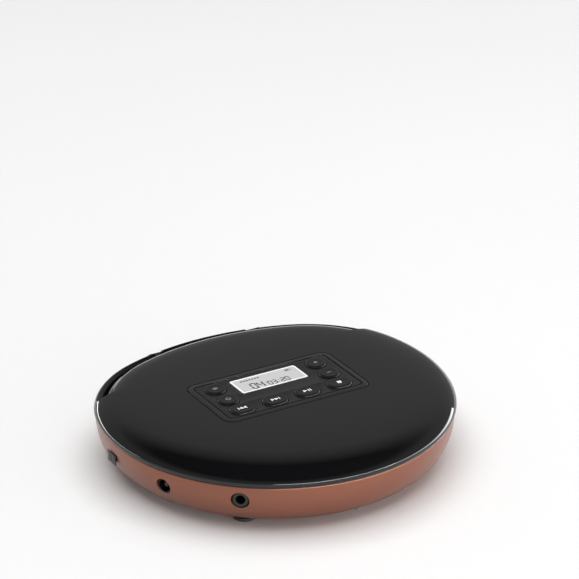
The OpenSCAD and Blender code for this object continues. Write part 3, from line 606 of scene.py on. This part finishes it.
def rear_strip():
    """The fixed strip behind the lid, with a notch for each hinge arm."""
    section = bspline(STRIP_SECTION, 4)
    split_y = STRIP_FROM_Y + STRIP_END_GAP
    columns = [both_halves(rear_half(inset, split_angle(inset, split_y)), "end")
               for inset, _ in section]
    loops = [[(column[j].x, column[j].y, z) for column, (_, z) in zip(columns, section)]
             for j in range(len(columns[0]))]
    piece = rings("rear_strip_cover", loops, caps=(True, True), sharp=40)
    cuts = [box_piece("cut", (x0, 50, NOTCH_FLOOR), (x1, 70, 40)) for x0, x1 in NOTCH_SPANS]
    return combine(piece, "DIFFERENCE", cuts, sharp=40)


def knuckles():
    """The strip's barrels at both sides of each hinge arm."""
    made = [rod_piece("knuckle", (x0, PIN_Y, PIN_Z), (x1, PIN_Y, PIN_Z), BARREL_R)
            for x0, x1 in KNUCKLE_SPANS]
    made[0].name = "strip_knuckles"
    return combine(made[0], "UNION", made[1:])


strip = wear(rear_strip(), GLOSS_BLACK)
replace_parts(strip, "rear_strip")
barrels = wear(knuckles(), GLOSS_BLACK)
for piece in (strip, barrels):
    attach(piece, "base")


# ---------------------------------------------------------------- case

def case_solid(name):
    """The open case with its floor, before any hole is cut."""
    section = [(CASE_FLOOR_INSET, CASE_FLOOR_UNDER)] + bspline(CASE_OUTER, 5) + CASE_LIP
    section += bspline(CASE_INNER, 4) + [(CASE_FLOOR_INSET, CASE_FLOOR_TOP)]
    loops = [plain_ring(inset, z) for inset, z in section]
    return rings(name, loops, caps=(True, True), sharp=40)


def radial_hole(angle_deg, z, radius):
    """A rod through the case's wall, square to the front arc."""
    a = math.radians(angle_deg)
    ends = [Vector((r * math.cos(a), FRONT_Y + r * math.sin(a), z)) for r in (60, 75)]
    return rod_piece("cut", *ends, radius)


def case_shell():
    """The lower case with its holes, slots, battery opening and screw wells."""
    cuts = [radial_hole(*JACK_HOLE), radial_hole(*DC_HOLE)]
    cuts += [box_piece("cut", *box) for box in (HOLD_SLOT, OPEN_SLOT, BATTERY_OPENING)]
    cuts += [rod_piece("cut", (x, y, 0), (x, y, SCREW_WELL_TOP), SCREW_WELL_R, 32)
             for x, y in SCREW_PLACES]
    return combine(case_solid("case_shell"), "DIFFERENCE", cuts, sharp=36)


def battery_cover():
    """The battery door, a piece of the same wall as the case, with four grooves to grip."""
    piece = combine(case_solid("battery_cover"), "INTERSECT", [box_piece("keep", *DOOR_BOX)],
                    sharp=36)
    grooves = [box_piece("cut", (-9, 42 + i * 1.6, 0), (9, 42.7 + i * 1.6, 1.4)) for i in range(4)]
    return combine(piece, "DIFFERENCE", grooves, sharp=36)


def battery_bay():
    """The walls that stand round the two cells."""
    (outer, inner), (front, inside) = BAY_SIDE, BAY_FRONT
    outline = [(-outer, BAY_REAR), (-outer, front), (outer, front), (outer, BAY_REAR),
               (inner, BAY_REAR), (inner, inside), (-inner, inside), (-inner, BAY_REAR)]
    return prints("battery_bay", [outline], *BAY_Z)


shell = wear(case_shell(), COPPER)
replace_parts(shell, "lower_case")
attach(shell, "base")
bay = wear(battery_bay(), DECK)
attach(bay, "base")
door = wear(battery_cover(), COPPER)
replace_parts(door, "battery_door")
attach(door, "battery_door")


# ---------------------------------------------------------------- hold knob and open slider

def hold_knob():
    """A thumb piece on the left: a flat shoe, a tongue through its slot and three ribs."""
    low, high = node_mm("hold_knob")
    y, z = (low.y + high.y) / 2, (low.z + high.z) / 2
    tongue_y = y + 0.2
    boxes = [((low.x + 0.12, low.y, low.z), (low.x + 0.6, high.y, high.z)),
             ((low.x + 0.5, tongue_y - 1.2, z - 1.05), (high.x, tongue_y + 1.2, z + 1.05))]
    boxes += [((low.x, at - 0.3, low.z + 0.5), (low.x + 0.3, at + 0.3, high.z - 0.5))
              for at in (y - 1.3, y, y + 1.3)]
    return soft_boxes("hold_thumb", boxes)


def open_slider():
    """A thumb piece on the right: a flat shoe with five ribs, a neck through its slot, a head
    inside the wall and the catch for the lid's hook."""
    low, high = node_mm("open_slider")
    y, z = FRONT_Y, 14
    boxes = [((69.42, y - 5, z - 2.4), (69.78, y + 5, z + 2.4)),
             ((66.2, y - 3, z - 1), (69.5, y + 3, z + 1)),
             ((65.5, y - 4.5, z - 1.6), (66.3, y + 4.5, z + 2.2)),
             ((low.x, y + 1.8, z + 1.2), (65.6, y + 4.2, z + 2.2))]
    boxes += [((69.7, y + i * 1.6 - 0.45, z - 1.9), (high.x, y + i * 1.6 + 0.45, z + 1.9))
              for i in range(-2, 3)]
    return soft_boxes("open_thumb", boxes)


for node, made in (("hold_knob", hold_knob()), ("open_slider", open_slider())):
    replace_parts(wear(made, HUB), node)
    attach(made, node)


# ---------------------------------------------------------------- keypad

ROUND_BUTTONS = ("eq", "mode", "volume_up", "volume_down")
OVAL_BUTTONS = ("previous", "next", "play", "stop")


def button_places():
    """Each button's centre, half width, half depth and top, without its flange."""
    out = {}
    for name in ROUND_BUTTONS + OVAL_BUTTONS:
        low, high = node_mm(name + "_button")
        out[name] = (Vector(((low.x + high.x) / 2, (low.y + high.y) / 2)),
                     (high.x - low.x) / 2 - KEY_FLANGE, (high.y - low.y) / 2 - KEY_FLANGE, high.z)
    return out


BUTTONS = button_places()


def pill(centre, w, d, grow=0.0, per_end=24):
    """Outline of a bar with round ends, half w wide and half d deep; a circle where they are
    equal."""
    r = d + grow
    half = w - d
    quarter = math.pi / 2
    if half < 1e-6:
        return [(centre.x + r * math.cos(a), centre.y + r * math.sin(a))
                for a in spread(0, math.tau, 2 * per_end)[:-1]]
    return [(centre.x + side * half + r * math.cos(a), centre.y + r * math.sin(a))
            for side, start in ((1, -quarter), (-1, quarter))
            for a in spread(start, start + math.pi, per_end)]


def button(name):
    """A key with a flange, straight sides, a soft edge and a slightly dished face."""
    centre, w, d, top = BUTTONS[name]
    profile = [(KEY_FLANGE, z) for z in KEY_FLANGE_Z] + [(0, KEY_FLANGE_Z[1])]
    profile += [(0, top - 0.62), (-0.05, top - 0.42), (-0.17, top - 0.22), (-0.38, top - 0.08),
                (-0.68, top - 0.01), (-0.95, top), (-1.4, top - 0.03), (-2.0, top - 0.06),
                (-2.8, top - 0.07)]
    loops = [[(x, y, z) for x, y in pill(centre, w, d, grow)] for grow, z in profile]
    return rings(name + "_key", loops, caps=(True, True), sharp=40)


def panel_loop(inset, z):
    """The panel's outline at an inset from the border's edge."""
    return rect_loop(PANEL_W - 2 * inset, PANEL_D - 2 * inset, PANEL_R - inset, z, PANEL_Y)


def keypad_bezel():
    """The sloping border of the panel."""
    steps = [(0, PANEL_UNDER), (0, PANEL_TOP - 0.16), (0.08, PANEL_TOP - 0.03),
             (0.2, PANEL_TOP + 0.02), (2.02, PANEL_TOP + 0.2), (2.14, PANEL_TOP + 0.17),
             (2.2, PANEL_TOP), (2.2, PANEL_UNDER)]
    loops = [panel_loop(inset, z) for inset, z in steps]
    return rings("keypad_bezel", loops, closed_section=True, sharp=40)


def keypad_plate():
    """The flat middle of the panel, with holes for the window and the buttons."""
    grow = 0.1 + PLATE_EDGE
    holes = [flat(rect_loop(WINDOW_W + 2 * grow, WINDOW_D + 2 * grow, 1 + PLATE_EDGE, 0, WINDOW_Y))]
    for centre, w, d, _ in BUTTONS.values():
        holes.append(pill(centre, w + 0.16 + PLATE_EDGE, d + 0.16 + PLATE_EDGE))
    outer = flat(panel_loop(PLATE_INSET + PLATE_EDGE, 0))
    return plate("keypad_plate", [outer] + holes, PANEL_UNDER, PANEL_TOP + 0.12, PLATE_EDGE)


def painted_shade_line(name, outer, inner, top):
    """A dark sheet on the floor of a fine gap round the panel, between two insets from the border's
    edge: painted shade that makes the gap look black.
    """
    under = top - 0.2
    section = ((outer, top), (outer, under), (inner, under), (inner, top))
    loops = [panel_loop(inset, z) for inset, z in section]
    return rings(name, loops, closed_section=True)


bezel = wear(keypad_bezel(), SHEEN_LIT_BEZEL)
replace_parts(bezel, "keypad_panel")
# Dark sheets in the gap round the panel and in the groove inside its border: painted shade
lines = [wear(painted_shade_line("keypad_gap_shade", -PANEL_GAP, 0.02, PANEL_TOP - 0.1), GAP_SHADE),
         wear(painted_shade_line("keypad_groove_shade", 2.18, 2.66, PANEL_TOP - 0.08), GAP_SHADE)]
for piece in [bezel, wear(keypad_plate(), PANEL)] + lines:
    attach(piece, "lid")


# ---------------------------------------------------------------- pictograms

def triangle(x, y, w, h):
    """A triangle that points to +X for a positive width, and to -X for a negative one."""
    side = h / 2 if w > 0 else -h / 2
    return [(x, y - side), (x + w, y), (x, y + side)]


def bar(x, y, w, h):
    """A rectangle with its centre at x, y."""
    return [(x - w / 2, y - h / 2), (x + w / 2, y - h / 2), (x + w / 2, y + h / 2),
            (x - w / 2, y + h / 2)]


def arc_band(r, t, start, end, count=14):
    """Part of a ring of radius r and stroke t."""
    return [(radius * math.cos(a), radius * math.sin(a))
            for radius, first, last in ((r + t / 2, start, end), (r - t / 2, end, start))
            for a in spread(first, last, count)]


def pictograms():
    """Plain signs for the buttons, in millimetres from each button's centre."""
    h = 1.7
    return {
        "previous": [bar(-1.75, 0, 0.3, h), triangle(0.1, 0, -1.6, h), triangle(1.75, 0, -1.6, h)],
        "next": [triangle(-1.75, 0, 1.6, h), triangle(-0.1, 0, 1.6, h), bar(1.75, 0, 0.3, h)],
        "play": [triangle(-1.75, 0, 1.7, h), bar(0.55, 0, 0.42, h), bar(1.4, 0, 0.42, h)],
        "stop": [bar(0, 0, h, h)],
        "eq": [bar(-0.9 + i * 0.6, 0, 0.28, tall) for i, tall in enumerate((0.9, 1.7, 1.2, 0.6))],
        "mode": [arc_band(0.85, 0.2, 0.5, math.pi - 0.1),
                 arc_band(0.85, 0.2, math.pi + 0.5, math.tau - 0.1),
                 [(-1.25, 0.15), (-0.45, 0.15), (-0.85, -0.35)],
                 [(1.25, -0.15), (0.45, -0.15), (0.85, 0.35)]],
        "volume_up": [bar(0, 0, h, 0.26), bar(0, 0.49, 0.26, 0.72), bar(0, -0.49, 0.26, 0.72)],
        "volume_down": [bar(0, 0, h, 0.26)],
    }


for name, shapes in pictograms().items():
    centre, _, _, top = BUTTONS[name]
    key = wear(button(name), BUTTON)
    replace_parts(key, name + "_button")
    moved = [[(x + centre.x, y + centre.y) for x, y in shape] for shape in shapes]
    ink = wear(prints(name + "_pictogram", moved, top - 0.12, top - 0.03),
               INK if name in OVAL_BUTTONS else DIM_INK)
    for piece in (key, ink):
        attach(piece, name + "_button")


# ---------------------------------------------------------------- display

# The lit segments of each digit: a at the top, then clockwise to f, and g in the middle
SEGMENTS_OF = {0: "abcdef", 2: "abdeg", 3: "abcdg", 4: "bcfg"}
TRACK_SIZE = (2.1, 4.4, 0.62)
TIME_SIZE = (1.45, 3.0, 0.46)


def digit(number, x, y, w, h, t):
    """Seven-segment shapes of one digit with stroke t, whose lower left corner is at x, y."""
    tall = h / 2
    side = t / 2
    gap = 0.06
    tip = gap + side
    across = {"a": h, "g": tall, "d": 0}
    upright = {"b": (w, tall), "c": (w, 0), "e": (0, 0), "f": (0, tall)}
    out = []
    for s in SEGMENTS_OF[number]:
        if s in across:
            cy = y + across[s]
            out.append([(x + gap, cy), (x + tip, cy - side), (x + w - tip, cy - side),
                        (x + w - gap, cy), (x + w - tip, cy + side), (x + tip, cy + side)])
        else:
            cx, cy = x + upright[s][0], y + upright[s][1]
            out.append([(cx, cy + gap), (cx + side, cy + tip), (cx + side, cy + tall - tip),
                        (cx, cy + tall - gap), (cx - side, cy + tall - tip), (cx - side, cy + tip)])
    return out


def display_marks():
    """The track number, the time, a row of small marks and a battery sign."""
    y = WINDOW_Y - 4.4
    out = []
    for number, x in ((0, -8.8), (4, -5.8)):
        out += digit(number, x, y, *TRACK_SIZE)
    for number, x in ((0, -1.8), (3, 0.3), (2, 3.8), (0, 5.9)):
        out += digit(number, x, y, *TIME_SIZE)
    out += [bar(2.75, y + 0.8, 0.4, 0.4), bar(2.75, y + 2.1, 0.4, 0.4)]
    top = WINDOW_Y + 3.3
    out += [bar(-10.5 + i * 1.25, top, 0.9, 0.7) for i in range(7)]
    out += [bar(10.2, top + 0.55, 2.4, 0.16), bar(10.2, top - 0.55, 2.4, 0.16),
            bar(9.0, top, 0.16, 0.94), bar(11.4, top, 0.16, 0.94), bar(11.62, top, 0.2, 0.45),
            bar(9.6, top, 0.6, 0.7), bar(10.4, top, 0.6, 0.7)]
    return out


def display():
    """The window's glass, its pale border and the marks under it."""
    top = window_high.z + 0.1
    outline = flat(rect_loop(WINDOW_W - 0.3, WINDOW_D - 0.3, 0.85, 0, WINDOW_Y))
    face = plate("display_glass", [outline], window_low.z, top, 0.12)
    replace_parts(face, "lcd_window")
    wear(face, LCD)
    section = ((0.14, top - 0.1), (0.14, top + 0.015), (0.85, top + 0.015), (0.85, top - 0.1))
    loops = [rect_loop(WINDOW_W - 2 * inset, WINDOW_D - 2 * inset, 1.0 - min(inset, 0.7), z,
                       WINDOW_Y) for inset, z in section]
    edge = wear(rings("display_border", loops, closed_section=True), LCD_EDGE)
    marks = wear(prints("display_digits", display_marks(), top - 0.05, top + 0.012), SEGMENT)
    for piece in (face, edge, marks):
        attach(piece, "lid")


display()


# ---------------------------------------------------------------- camera, floor and light

AZIMUTH = math.radians(-30.5)
ELEVATION = math.radians(27.05)
DISTANCE = 1.0
FOCAL_MM = 161.7
SENSOR_MM = 36
AIM_RIGHT_MM = 3.1
AIM_UP_MM = 44.7
FLOOR_HALF_MM = 4000


def aim(thing, target):
    """Turns a camera or light to look at a place."""
    thing.rotation_euler = (Vector(target) - thing.location).to_track_quat("-Z", "Y").to_euler()


def add_camera():
    """The camera, aimed above and to the right of the middle of the seam under the lid."""
    level = math.cos(ELEVATION)
    back = Vector((math.sin(AZIMUTH) * level, -math.cos(AZIMUTH) * level, math.sin(ELEVATION)))
    right = Vector((math.cos(AZIMUTH), math.sin(AZIMUTH), 0))
    up = back.cross(right)
    seam = Vector((0, 0, lid_low.z * MM))
    camera = bpy.data.objects.new("camera", bpy.data.cameras.new("camera"))
    bpy.context.scene.collection.objects.link(camera)
    camera.location = seam + back * DISTANCE
    aim(camera, seam + (right * AIM_RIGHT_MM + up * AIM_UP_MM) * MM)
    camera.data.sensor_width = SENSOR_MM
    camera.data.lens = FOCAL_MM
    camera.data.clip_start = 0.05
    bpy.context.scene.camera = camera


def add_floor():
    """A plain pale floor."""
    corners = [(x * FLOOR_HALF_MM, y * FLOOR_HALF_MM, 0)
               for x, y in ((-1, -1), (1, -1), (1, 1), (-1, 1))]
    floor = new_object("floor", corners, [(0, 1, 2, 3)])
    wear(floor, surface("floor_paint", (0.78, 0.78, 0.78), 0.6, grain_mm=8, tint=0.01))


def softbox(name, location, size, watts, shown=True):
    """A rectangular area light that looks at the object. Where shown is false, gloss doesn't
    mirror it."""
    data = bpy.data.lights.new(name, "AREA")
    data.shape = "RECTANGLE"
    data.size, data.size_y = size
    data.energy = watts
    light = bpy.data.objects.new(name, data)
    bpy.context.scene.collection.objects.link(light)
    light.location = location
    aim(light, (0, 0, 0.02))
    light.visible_glossy = shown


def beyond(azimuth_deg, elevation_deg, distance):
    """A place round the object. Azimuth 0 is straight beyond it as the camera sees it, and
    larger azimuths turn to the left."""
    a = math.radians(azimuth_deg) + AZIMUTH
    e = math.radians(elevation_deg)
    return distance * Vector((-math.sin(a) * math.cos(e), math.cos(a) * math.cos(e), math.sin(e)))


def add_world():
    """A dim room: grey walls that fade to a dark ceiling."""
    world = bpy.data.worlds.new("studio")
    bpy.context.scene.world = world
    world.use_nodes = True
    nodes, links = world.node_tree.nodes, world.node_tree.links
    place = nodes.new("ShaderNodeTexCoord")
    split = nodes.new("ShaderNodeSeparateXYZ")
    ramp = nodes.new("ShaderNodeValToRGB")
    links.new(place.outputs["Generated"], split.inputs["Vector"])
    links.new(split.outputs["Z"], ramp.inputs["Fac"])
    links.new(ramp.outputs["Color"], nodes["Background"].inputs["Color"])
    stops = ramp.color_ramp.elements
    stops[0].position, stops[0].color = 0.0, (0.34, 0.34, 0.34, 1)
    stops[1].position, stops[1].color = 0.78, (0.012, 0.012, 0.012, 1)
    stops.new(0.56).color = (0.30, 0.30, 0.30, 1)
    nodes["Background"].inputs["Strength"].default_value = 1.0


def add_lights():
    """A wide ceiling, and three low lights whose reflections draw the lid's edge. They stand low
    so that they don't fill the lid's flat top when it is seen from other sides."""
    softbox("ceiling", (0, 0, 1.5), (2.0, 2.0), 37, shown=False)
    softbox("right_box", beyond(-77, 5.8, 1.1), (1.65, 0.2), 7.5)
    softbox("left_strip", beyond(62, 6, 1.2), (1.5, 0.06), 2.6)
    softbox("front_strip", beyond(-143, 5, 1.3), (2.0, 0.05), 15)


add_camera()
add_floor()
add_world()
add_lights()
bpy.context.scene.view_settings.view_transform = "Standard"
